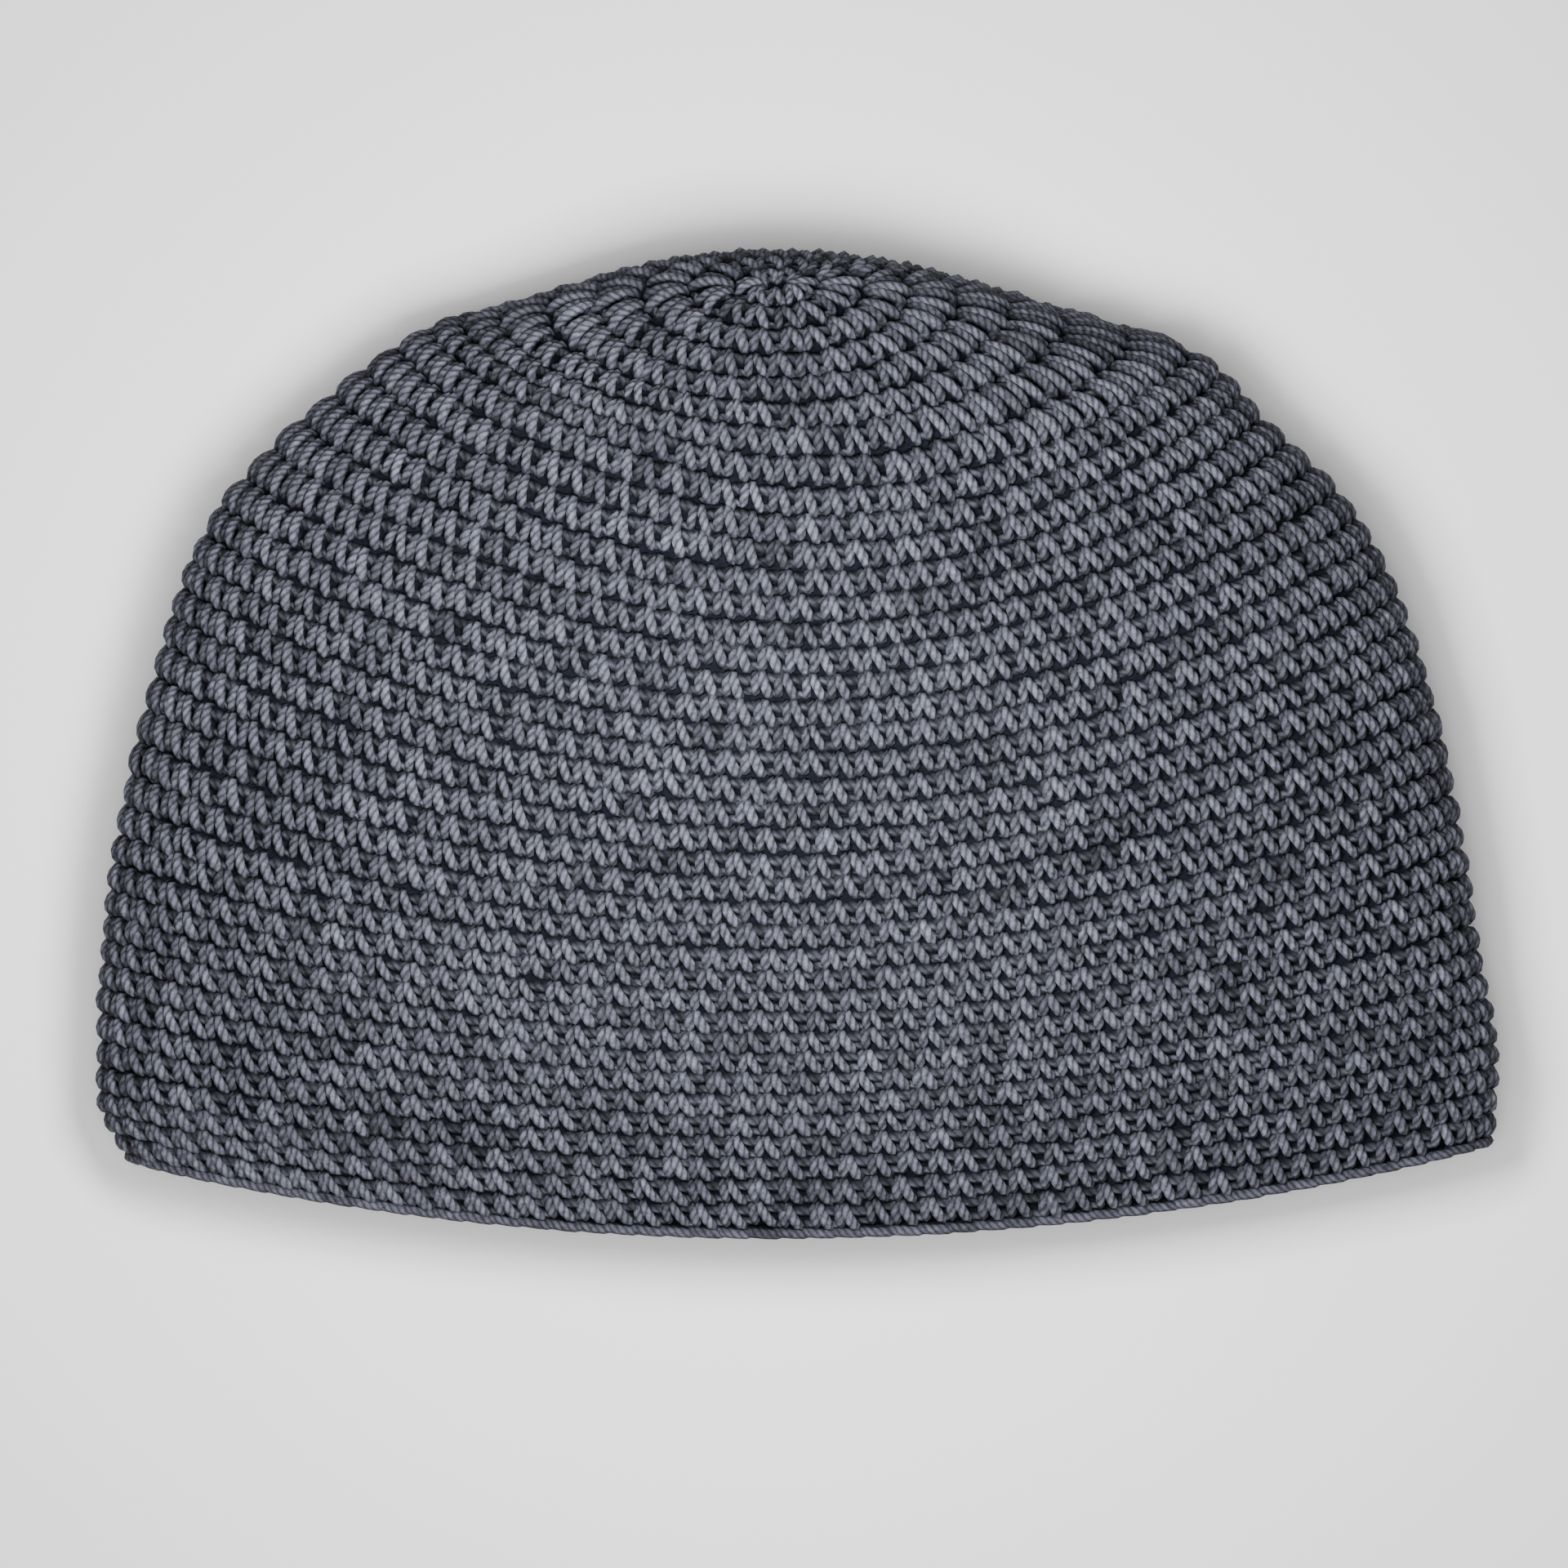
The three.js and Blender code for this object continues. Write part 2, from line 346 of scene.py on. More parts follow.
def straight_yarn(rings, sides=SIDES):
    """A closed rod of unit radius along Z, as plain arrays that can be repeated."""
    bm = bmesh.new()
    made = bmesh.ops.create_cone(
        bm, cap_ends=True, segments=sides, radius1=1, radius2=1, depth=rings - 1
    )
    bmesh.ops.translate(bm, verts=made["verts"], vec=(0, 0, (rings - 1) / 2))
    lengthways = [e for e in bm.edges if abs(e.verts[0].co.z - e.verts[1].co.z) > 0.5]
    bmesh.ops.subdivide_edges(bm, edges=lengthways, cuts=rings - 2, use_grid_fill=True)
    bmesh.ops.recalc_face_normals(bm, faces=bm.faces)
    bm.verts.index_update()
    ring_of = np.array([round(v.co.z) for v in bm.verts])
    angle_of = np.array([math.atan2(v.co.y, v.co.x) for v in bm.verts])
    corners, around, first = [], [], []
    for face in bm.faces:
        first.append(len(corners))
        turns = [angle_of[v.index] / (2 * math.pi) % 1 for v in face.verts]
        wraps = max(turns) - min(turns) > 0.5
        is_cap = len(face.verts) != 4
        for v, turn in zip(face.verts, turns):
            corners.append(v.index)
            around.append(turn + 1 if wraps and not is_cap and turn < 0.5 else turn)
    bm.free()
    return {
        "ring": ring_of,
        "angle": angle_of,
        "corners": np.array(corners),
        "around": np.array(around),
        "first": np.array(first),
    }


RODS = {
    name: straight_yarn(len(path), SIDES_BEHIND if name in BEHIND else SIDES)
    for name, path in PATHS.items()
}
print("faces of each rod:", {name: len(rod["first"]) for name, rod in RODS.items()})

# %% [markdown]
# To bend a rod, each of its rings is carried to its point on the path and turned square to it. A
# curve with a round bevel would do the same, but one at a time. Here all stitches of a round are
# bent in one step. The ends are thinner, so they slip in between their neighbours.

# %% Bend one rod along many paths
END_TAPER = 0.72


def bend_yarn(rod, path, out, radius):
    """Corners of a rod swept along paths of shape (stitches, points, 3), and how far along they are."""
    along = unit(np.gradient(path, axis=1))
    side = unit(np.cross(along, out))
    up = np.cross(side, along)
    taper = np.ones(path.shape[1])
    taper[[0, -1]] = END_TAPER
    ring = rod["ring"]
    thick = radius[:, None, None] * taper[ring][None, :, None]
    cos = np.cos(rod["angle"])[None, :, None]
    sin = np.sin(rod["angle"])[None, :, None]
    corners = path[:, ring] + thick * (cos * side[:, ring] + sin * up[:, ring])
    steps = np.linalg.norm(np.diff(path, axis=1), axis=2)
    run = np.concatenate([np.zeros((len(path), 1)), np.cumsum(steps, axis=1)], axis=1)
    return corners, run[:, ring]


print("ends of the yarn are", END_TAPER, "as thick as its middle")

# %% [markdown]
# Thousands of separate objects would be slow, so all rods of a band of rounds become one mesh.
# Their arrays are stacked, with the corner numbers of each rod moved on past those before it.

# %% Stack the bent rods
MM_PER_METRE = 1000


def stack_yarns(parts):
    """Corners, faces, UV map, tone and depth of one mesh, from many bent rods."""
    stacks = {label: [] for label in ("corners", "loops", "firsts", "uvs", "tone", "depth")}
    corner_total, loop_total = 0, 0
    for rod, places, run, tone, depth in parts:
        count, each = places.shape[:2]
        base = corner_total + np.arange(count)[:, None] * each
        loop_base = loop_total + np.arange(count)[:, None] * len(rod["corners"])
        around = np.broadcast_to(rod["around"], (count, len(rod["corners"])))
        along = run[:, rod["corners"]] * MM_PER_METRE
        stacks["corners"].append(places.ravel())
        stacks["loops"].append((base + rod["corners"]).ravel())
        stacks["firsts"].append((loop_base + rod["first"]).ravel())
        stacks["uvs"].append(np.stack([around, along], axis=-1).ravel())
        stacks["tone"].append(np.repeat(tone, each))
        stacks["depth"].append(depth.ravel())
        corner_total += count * each
        loop_total += count * len(rod["corners"])
    return {label: np.concatenate(arrays) for label, arrays in stacks.items()}


print("UV map: once around the yarn, and", MM_PER_METRE, "for each metre along it")

# %% [markdown]
# The stacked arrays go into a Blender mesh in a few large steps. It carries two attributes for its
# material: tone, a number for each stitch plus a painted light step for each length, and depth, a
# height in millimetres that is 0 at the outer face of the fabric and less below it, which the
# material turns into painted shade.


# %% Make one mesh of many yarns
def show(name, mesh):
    """A smooth-shaded object at the origin, in the scene."""
    mesh.shade_smooth()
    piece = bpy.data.objects.new(name, mesh)
    bpy.context.scene.collection.objects.link(piece)
    return piece


def join_yarns(name, parts):
    """One piece made of many bent rods."""
    data = stack_yarns(parts)
    mesh = bpy.data.meshes.new(name)
    mesh.vertices.add(len(data["corners"]) // 3)
    mesh.vertices.foreach_set("co", data["corners"].astype(np.float32))
    mesh.loops.add(len(data["loops"]))
    mesh.loops.foreach_set("vertex_index", data["loops"].astype(np.int32))
    mesh.polygons.add(len(data["firsts"]))
    mesh.polygons.foreach_set("loop_start", data["firsts"].astype(np.int32))
    mesh.update(calc_edges=True)
    mesh.uv_layers.new(name="yarn")
    mesh.uv_layers["yarn"].data.foreach_set("uv", data["uvs"].astype(np.float32))
    for label in ("tone", "depth"):
        layer = mesh.attributes.new(label, "FLOAT", "POINT")
        layer.data.foreach_set("value", data[label].astype(np.float32))
    print(name, "triangles:", sum(len(p.vertices) - 2 for p in mesh.polygons))
    return show(name, mesh)


# %% [markdown]
# No two hand-made stitches match. Every stitch gets its own small shift, width, thickness and tone
# from a seeded generator, so the cap is uneven in the way handwork is, and the same on every run.
# A round also rises and falls slowly as the pull on the yarn changes. The sixth round has wider
# holes on its left half, where the increases were worked loosely.

# %% The unevenness of handwork
random = np.random.default_rng(7)
YARN_RADIUS = 0.00108  # in metres
STITCH_SHIFT = (0.055, 0.04)  # across in stitches, and down in rounds
HEIGHT_CHANGE = 0.1  # in millimetres
WIDTH_CHANGE = 0.07
YARN_CHANGE = 0.06
WAVE = 0.026  # in rounds
WAVE_TURNS = (3, 7, 13, 22)  # how many times a round rises and falls on its way around
LOOSE_ROUND = 6
LOOSE_FROM, LOOSE_TO = 0.32, 0.52  # in shares of the way around
LOOSE_WIDTH, LOOSE_YARN = 0.86, 0.84


def wave_around(share):
    """A slow rise and fall of a round, in rounds."""
    total = np.zeros_like(share)
    for turns in WAVE_TURNS:
        total += WAVE * np.sin(2 * math.pi * (turns * share + random.random())) / math.sqrt(turns)
    return total


def handwork(k):
    """How each stitch of a round differs from a plain one."""
    count = stitch_count[k]
    column = np.arange(count)
    shift = random.normal(0, 1, (count, 2)) * STITCH_SHIFT
    shift[:, 1] += wave_around(column / count)
    work = {
        "column": column,
        "across": shift[:, 0],
        "down": shift[:, 1],
        "height": random.normal(0, HEIGHT_CHANGE, count),
        "width": 1 + random.normal(0, WIDTH_CHANGE, count),
        "yarn": YARN_RADIUS * (1 + random.normal(0, YARN_CHANGE, count)),
        "tone": random.normal(0, 1, count),
    }
    if k + 1 == LOOSE_ROUND:
        is_loose = (column / count > LOOSE_FROM) & (column / count < LOOSE_TO)
        work["yarn"] = work["yarn"] * np.where(is_loose, LOOSE_YARN, 1)
        work["width"] = work["width"] * np.where(is_loose, LOOSE_WIDTH, 1)
    return work


print("thickness of the yarn in mm:", round(2 * YARN_RADIUS * MM_PER_METRE, 2))

# %% [markdown]
# The crown's rings are not centred on one another, because the cap lies on its back. A line of
# equal share would run askew there, so each stitch of the crown is turned back until it stands
# square to its own round. On both sides of the crown the fabric is also stretched, and the rounds
# lie further apart than elsewhere. There the yarn of a stitch reaches further, is a little thicker
# and arches higher, so that no gaps open between the rounds.

# %% How a round lies on the crown
SIDE_STARTS = 24  # after this many rounds, no stitch is turned back
CROWN_FADE = 8  # in the last of them, stitches are turned back less and less
MOST_SLANT = 1.6  # in stitches
SWELL = 0.1  # how much thicker the yarn is where the fabric is stretched most
CROWDED = {1: 0.8, 2: 0.92}  # the first rounds have thinner yarn, or it would fill their middle
SMALLEST_ROUND = 1e-3  # the level that serves for the start of the first round


def lie_of_round(k, share):
    """How far a line of equal share drifts sideways over a round, and how much the round spreads."""
    upper, lower, middle = k / ROUNDS, (k + 1) / ROUNDS, (k + 0.5) / ROUNDS
    drop = surface(lower, angle_at(np.full_like(share, lower), share))
    drop = drop - surface(max(upper, SMALLEST_ROUND), angle_at(np.full_like(share, upper), share))
    level = np.full_like(share, middle)
    along = surface(middle, angle_at(level, share + PROBE))
    along = unit(along - surface(middle, angle_at(level, share - PROBE)))
    drift = (drop * along).sum(axis=1) / middle_lengths[k] * stitch_count[k]
    spread = np.linalg.norm(drop, axis=1) / STITCH_WIDTH - 1
    return np.clip(drift, -MOST_SLANT, MOST_SLANT), np.clip(spread, 0, 1)


def fit_to_crown(k, work):
    """Turn and swell the stitches of a round to suit its place."""
    slant, stretched = lie_of_round(k, ((work["column"] + starts[k]) / stitch_count[k]) % 1)
    work["slant"] = slant * np.clip((SIDE_STARTS - k) / CROWN_FADE, 0, 1)
    work["stretched"] = stretched
    work["yarn"] = work["yarn"] * (1 + SWELL * stretched) * CROWDED.get(k + 1, 1)
    return work


loose = LOOSE_ROUND - 1
spread = lie_of_round(loose, np.arange(stitch_count[loose]) / stitch_count[loose])[1]
print("round", LOOSE_ROUND, "is stretched by", spread.min().round(2), "to", spread.max().round(2))

# %% [markdown]
# Between the stitches the material paints shade, darker than bare rods would make it in this light.
# So each corner keeps its depth for the material: the height of its path, and more or less on
# the side of the yarn that faces out or in, so that the flanks of the yarn get painted shade too.
# Past the middle of the fabric, depth counts from the inner face, because the inside of the cap is
# yarn too. The first round leaves a quarter of its depth open at the crown's middle, for the ring
# that the cap was started from.

# %% Lay one length of yarn in every stitch of a round
MID_FABRIC = -2.25  # in millimetres out of the outer face
INNER_RISE = 1.3  # how much every millimetre past it counts
# LOBE: the outer side of the yarn counts as less deep and its inner side as deeper, so painted shade
# falls on the flanks more than on the top
LOBE = 1.1  # in millimetres, between the middle of the yarn and its outer or inner side
REACH = 0.21  # how much further the yarn reaches where the fabric is stretched most
ARCH = 0.5  # in millimetres, how much higher it arches there
ARCH_SEAT = 0.45  # the share of the arch by which all of it is lowered again
CENTRE_RING = 0.25
CENTRE_LEVEL = 0.0005  # no path comes nearer to the crown's middle than this
FLOOR_CLEARANCE = 0.0001  # in metres above the table, where the lowest yarn is pressed flat


def from_nearer_face(height):
    """Heights past the middle of the fabric count from its inner face."""
    return np.where(height < MID_FABRIC, MID_FABRIC + INNER_RISE * (MID_FABRIC - height), height)


def lay_length(part, k, work):
    """One of the five lengths, bent over the cap's surface in every stitch of a round."""
    rod = RODS[part]
    across, share, height = (values[None] for values in np.array(PATHS[part]).T)
    stretched = work["stretched"][:, None]
    down = 0.5 + (share - 0.5) * (1 + REACH * stretched) + work["down"][:, None]
    if k == 0:
        down = CENTRE_RING + (1 - CENTRE_RING) * down
    level = np.maximum((k + down) / ROUNDS, CENTRE_LEVEL)
    place = work["column"][:, None] + across * work["width"][:, None] + work["across"][:, None]
    place = place + starts[k] + (LEAN - work["slant"][:, None]) * (share - 0.5)
    arch = ARCH * stretched * (np.sin(math.pi * share) - ARCH_SEAT)
    lift = (height + work["height"][:, None] + arch) / MM_PER_METRE
    path, out = on_fabric(level, place / stitch_count[k], lift)
    corners, run = bend_yarn(rod, path, out, work["yarn"] * THICKNESS[part])
    corners[..., 2] = np.maximum(corners[..., 2], FLOOR_CLEARANCE)
    depth = np.broadcast_to(height, path.shape[:2])[:, rod["ring"]]
    depth = from_nearer_face(depth + LOBE * np.sin(rod["angle"]))
    return rod, corners, run, work["tone"] + PAINTED_LIGHT_STEP[part], depth


print("middle of the fabric lies", -MID_FABRIC, "mm in")

# %% [markdown]
# Now the cap can be worked, from the crown down. It is made in five bands of rounds, so that no
# mesh gets too heavy to open or print.

# %% Work the rounds
BANDS = {
    "crown_rounds": (1, 13),
    "upper_rounds": (14, 20),
    "middle_rounds": (21, 26),
    "lower_rounds": (27, 32),
    "rim_rounds": (33, 39),
}


def band_of_rounds(name, first_round, last_round):
    """All stitches from one round to another, as one piece."""
    parts = []
    for k in range(first_round - 1, last_round):
        work = fit_to_crown(k, handwork(k))
        parts += [lay_length(part, k, work) for part in PATHS]
    return join_yarns(name, parts)


stitches = {name: band_of_rounds(name, *span) for name, span in BANDS.items()}

# %% [markdown]
# Behind the legs of the stitches there is more yarn, and no light comes through. A thin closed
# shell in the middle of the fabric stands for it. Modelling that yarn as well would double the
# mesh for nothing that shows. The shell is a grid, laid down the outside from the crown to the lip
# and back up the inside, with its doubled corners merged. An attribute marks its inner side.

# %% The shell in the middle of the fabric
CORE_AROUND = 160
CORE_DOWN = 76
CORE_UP = 52
CORE_OUTSIDE = -0.0022  # in metres out of the cap's outer surface
CORE_INSIDE = -0.0029
CROWN_PROBES = 64  # the way out of the crown's middle is the mean of this many around it
WELD = 0.00005


def fabric_core(name):
    bm = bmesh.new()
    steps = CORE_DOWN + 1 + CORE_UP
    bmesh.ops.create_grid(bm, x_segments=CORE_AROUND, y_segments=steps, size=1)
    flat = np.array([v.co[:] for v in bm.verts])
    angle = (flat[:, 0] + 1) * math.pi
    step = np.rint((flat[:, 1] + 1) / 2 * steps).astype(int)
    is_outside = step <= CORE_DOWN
    level = np.where(is_outside, step / CORE_DOWN, (steps - step) / CORE_UP)
    out = outward(level, angle)
    around_crown = np.arange(CROWN_PROBES) * 2 * math.pi / CROWN_PROBES
    out[level == 0] = unit(outward(np.full(CROWN_PROBES, POLE_LEVEL), around_crown).mean(axis=0))
    lift = np.where(is_outside, CORE_OUTSIDE, CORE_INSIDE)
    places = surface(level, angle) + out * lift[:, None]
    inside = bm.verts.layers.float.new("inside")
    for v, place, is_out in zip(bm.verts, places, is_outside):
        v.co = place
        v[inside] = 0 if is_out else 1
    bmesh.ops.remove_doubles(bm, verts=bm.verts, dist=WELD)
    bmesh.ops.recalc_face_normals(bm, faces=bm.faces)
    mesh = bpy.data.meshes.new(name)
    bm.to_mesh(mesh)
    bm.free()
    print(name, "faces:", len(mesh.polygons))
    return show(name, mesh)


core = fabric_core("fabric_core")

# %% [markdown]
# The rim ends in a round of slip stitches. It is worked close, so it lies as a thin cord along the
# lip, right against the last round. A plain ring of yarn would look like a wire, so each stitch is
# a loop with a leg on either face of the fabric, and they overlap like a chain. Nothing covers the
# side of the yarn that faces out of the mouth, so it counts as less deep than its height says and
# gets less painted shade.

# %% The slip stitches along the lip
EDGE_PATHS = {
    "front_leg": [
        (-0.75, 0.11, -2.0),
        (-0.4, 0.14, -1.25),
        (0.0, 0.17, -1.1),
        (0.4, 0.2, -1.25),
        (0.75, 0.23, -2.0),
    ],
    "back_leg": [
        (-0.75, 0.13, -2.3),
        (-0.4, 0.15, -2.85),
        (0.0, 0.17, -2.95),
        (0.4, 0.19, -2.85),
        (0.75, 0.21, -2.3),
    ],
}
EDGE_YARN_RADIUS = 0.00105
EDGE_SHIFT = 0.03
EDGE_YARN_CHANGE = 0.03
LIP_RISE = 1.9  # in millimetres, how far above the middle of the fabric the bare side counts


def slip_stitches(name, count):
    """A front leg and a back leg for each stitch, just past the lip."""
    parts = []
    column = np.arange(count)
    shift = random.normal(0, EDGE_SHIFT, count)
    tone = random.normal(0, 1, count)
    thick = EDGE_YARN_RADIUS * (1 + random.normal(0, EDGE_YARN_CHANGE, count))
    for points in EDGE_PATHS.values():
        rod = straight_yarn(len(points))
        across, share, height = (values[None] for values in np.array(points).T)
        level = 1 + np.broadcast_to(share / ROUNDS, (count, len(points)))
        place = column[:, None] + across + shift[:, None] + starts[-1]
        lift = np.broadcast_to(height / MM_PER_METRE, level.shape)
        path, out = on_fabric(level, place / count, lift)
        corners, run = bend_yarn(rod, path, out, thick)
        corners[..., 2] = np.maximum(corners[..., 2], FLOOR_CLEARANCE)
        depth = np.broadcast_to(height, path.shape[:2])[:, rod["ring"]]
        depth = from_nearer_face(depth + LOBE * np.sin(rod["angle"]))
        depth = np.maximum(depth, MID_FABRIC + LIP_RISE * np.cos(rod["angle"]))
        parts.append((rod, corners, run, tone, depth))
    return join_yarns(name, parts)


edge = slip_stitches("edge_slip_stitches", int(stitch_count[-1]))

# %% [markdown]
# The finishes come next. Shader nodes are added and linked many times, so three small helpers keep
# the cells that follow short.


# %% Small helpers for shader nodes
def add_node(tree, kind, **settings):
    """A new node with its own settings."""
    node = tree.nodes.new(kind)
    for key, value in settings.items():
        setattr(node, key, value)
    return node


def calculate(tree, operation, *values):
    """A Math node's output. Each value is a number or another node's output."""
    node = add_node(tree, "ShaderNodeMath", operation=operation)
    for socket, value in zip(node.inputs, values):
        if isinstance(value, (int, float)):
            socket.default_value = value
        else:
            tree.links.new(value, socket)
    return node.outputs[0]


def new_group(name, inputs, outputs):
    """An empty node group with its inputs, their usual values, and its outputs."""
    tree = bpy.data.node_groups.new(name, "ShaderNodeTree")
    for label, value in inputs.items():
        socket = tree.interface.new_socket(label, in_out="INPUT", socket_type="NodeSocketFloat")
        socket.default_value = value
    for label in outputs:
        tree.interface.new_socket(label, in_out="OUTPUT", socket_type="NodeSocketFloat")
    return tree, tree.nodes.new("NodeGroupInput"), tree.nodes.new("NodeGroupOutput")


print("node groups so far:", len(bpy.data.node_groups))

# %% [markdown]
# The yarn is a matte slate-grey cotton of four plies that are twisted together. The grooves
# between the plies wind around it, so their pattern is a wave over the UV map: around the yarn,
# moved on a little with every millimetre along it. Both yarns use it, so it is a node group.

# %% The twisted plies
TWIST = {"Plies": 4.0, "Twist Length": 5.5}  # the length in millimetres


def make_twisted_plies():
    """Crest is 1 on top of a ply and 0 in the groove between two."""
    tree, given, result = new_group("twisted_plies", TWIST, ["Crest"])
    uv = add_node(tree, "ShaderNodeUVMap", uv_map="yarn")
    split = add_node(tree, "ShaderNodeSeparateXYZ")
    tree.links.new(uv.outputs["UV"], split.inputs["Vector"])
    around = calculate(tree, "MULTIPLY", split.outputs["X"], given.outputs["Plies"])
    along = calculate(tree, "DIVIDE", split.outputs["Y"], given.outputs["Twist Length"])
    turned = calculate(tree, "MULTIPLY", along, given.outputs["Plies"])
    phase = calculate(tree, "ADD", around, turned)
    wave = calculate(tree, "SINE", calculate(tree, "MULTIPLY", phase, math.pi))
    tree.links.new(calculate(tree, "ABSOLUTE", wave), result.inputs["Crest"])
    return tree


TWISTED_PLIES = make_twisted_plies()
print("shared effect:", TWISTED_PLIES.name)

# %% [markdown]
# Cotton is covered in short loose fibres. At this scale they show as a fine speckle, which a noise
# gives. It reads Object coordinates, so it stays on the yarn when the camera moves.

# %% The fuzz of the fibres
FIBRES = {"Fineness": 900.0}


def make_fibre_fuzz():
    """Fuzz is a speckle around 0.5."""
    tree, given, result = new_group("fibre_fuzz", FIBRES, ["Fuzz"])
    where = add_node(tree, "ShaderNodeTexCoord")
    noise = add_node(tree, "ShaderNodeTexNoise", noise_dimensions="3D")
    noise.inputs["Detail"].default_value = 3
    noise.inputs["Roughness"].default_value = 0.65
    tree.links.new(where.outputs["Object"], noise.inputs["Vector"])
    tree.links.new(given.outputs["Fineness"], noise.inputs["Scale"])
    tree.links.new(noise.outputs["Fac"], result.inputs["Fuzz"])
    return tree


FIBRE_FUZZ = make_fibre_fuzz()
print("shared effect:", FIBRE_FUZZ.name)

# %% [markdown]
# The third shared effect brings these together with the two attributes. Lit is painted shade by
# depth: it says how much of its own colour a spot keeps, none deep between the stitches, all on top.
# Shade paints shade in the grooves between the plies and light on their crests, makes the speckle of
# the fuzz lighter and darker, partly as the fibres' own colour and partly as painted glints, and
# gives every stitch its own tone and each length its painted light step.

# %% The shade of a strand
# Painted shade: the colour fades to the painted shade colour from PROUDEST down to DEEPEST
DEEPEST, PROUDEST = -1.75, 0.3  # in millimetres out of the fabric
# Painted shade in the grooves between the plies, and painted highlight on their crests
CREST_GAIN, CREST_BASE = 0.85, 0.36
# The speckle of the fuzz, partly the fibres' own colour and partly painted glints
FUZZ_GAIN, FUZZ_BASE = 2.6, -0.3
TONE_GAIN = 0.17


def make_strand_shade():
    inputs = {"Depth": 0.0, "Tone": 0.0, "Crest": 1.0, "Fuzz": 0.5}
    tree, given, result = new_group("strand_shade", inputs, ["Lit", "Shade"])
    rise = add_node(tree, "ShaderNodeMapRange", interpolation_type="SMOOTHSTEP")
    rise.inputs["From Min"].default_value = DEEPEST
    rise.inputs["From Max"].default_value = PROUDEST
    tree.links.new(given.outputs["Depth"], rise.inputs["Value"])
    tree.links.new(rise.outputs["Result"], result.inputs["Lit"])
    by_ply = calculate(tree, "MULTIPLY_ADD", given.outputs["Crest"], CREST_GAIN, CREST_BASE)
    by_fuzz = calculate(tree, "MULTIPLY_ADD", given.outputs["Fuzz"], FUZZ_GAIN, FUZZ_BASE)
    by_tone = calculate(tree, "MULTIPLY_ADD", given.outputs["Tone"], TONE_GAIN, 1.0)
    shade = calculate(tree, "MULTIPLY", by_ply, by_fuzz)
    tree.links.new(calculate(tree, "MULTIPLY", shade, by_tone), result.inputs["Shade"])
    return tree


STRAND_SHADE = make_strand_shade()
print("shared effect:", STRAND_SHADE.name)

# %% [markdown]
# A yarn material goes from a painted shade colour, nearly black, to its own colour by Lit, and is
# scaled by Shade. The same crests and fuzz raise the surface through a Bump node. Cotton has hardly
# any gloss, so the roughness is high and the specular low, set on the shader itself. The slip
# stitches are packed closer than the rest, and their colour is set a little darker.

# %% The yarn materials
SLATE = (0.066, 0.0685, 0.0865)
EDGE_SLATE = (0.057, 0.0595, 0.076)
# The painted shade colour, deep between the stitches and on the flanks of the yarn
PAINTED_SHADE_SLATE = (0.004, 0.0044, 0.0075)
FUZZ_HEIGHT = 0.35  # beside a ply, which counts as 1
PLY_HEIGHT = 0.0003  # in metres


def use_group(tree, group, values):
    """A node group, placed in a material with its own values."""
    node = add_node(tree, "ShaderNodeGroup", node_tree=group)
    for label, value in values.items():
        node.inputs[label].default_value = value
    return node


def yarn_material(name, colour):
    material = bpy.data.materials.new(name)
    material.use_nodes = True
    tree = material.node_tree
    shader = tree.nodes["Principled BSDF"]
    shader.inputs["Roughness"].default_value = 0.92
    shader.inputs["Specular IOR Level"].default_value = 0.12

    crest = use_group(tree, TWISTED_PLIES, TWIST).outputs["Crest"]
    fuzz = use_group(tree, FIBRE_FUZZ, FIBRES).outputs["Fuzz"]
    strand = use_group(tree, STRAND_SHADE, {})
    for label in ("depth", "tone"):
        attribute = add_node(tree, "ShaderNodeAttribute", attribute_name=label)
        tree.links.new(attribute.outputs["Fac"], strand.inputs[label.title()])
    tree.links.new(crest, strand.inputs["Crest"])
    tree.links.new(fuzz, strand.inputs["Fuzz"])

    mix = add_node(tree, "ShaderNodeMix", data_type="RGBA")
    mix.inputs["A"].default_value = (*PAINTED_SHADE_SLATE, 1)
    mix.inputs["B"].default_value = (*colour, 1)
    tree.links.new(strand.outputs["Lit"], mix.inputs["Factor"])
    scaled = add_node(tree, "ShaderNodeVectorMath", operation="SCALE")
    tree.links.new(mix.outputs["Result"], scaled.inputs["Vector"])
    tree.links.new(strand.outputs["Shade"], scaled.inputs["Scale"])
    tree.links.new(scaled.outputs["Vector"], shader.inputs["Base Color"])

    bump = add_node(tree, "ShaderNodeBump")
    bump.inputs["Strength"].default_value = 0.6
    bump.inputs["Distance"].default_value = PLY_HEIGHT
    tree.links.new(calculate(tree, "MULTIPLY_ADD", fuzz, FUZZ_HEIGHT, crest), bump.inputs["Height"])
    tree.links.new(bump.outputs["Normal"], shader.inputs["Normal"])
    return material


yarn = yarn_material("slate_yarn", SLATE)
edge_yarn = yarn_material("edge_yarn", EDGE_SLATE)
print("yarns:", yarn.name, edge_yarn.name)

# %% [markdown]
# The shell behind the stitches is the same cotton in deep shadow, so it is nearly black, with the
# same speckle. Inside the cap it is the fabric that shows between the bars, and is lighter.

# %% The yarn in shadow
SHADOW_LOW = (0.001, 0.0013, 0.003, 1)
SHADOW_HIGH = (0.012, 0.013, 0.019, 1)
INSIDE_GAIN = 4.0


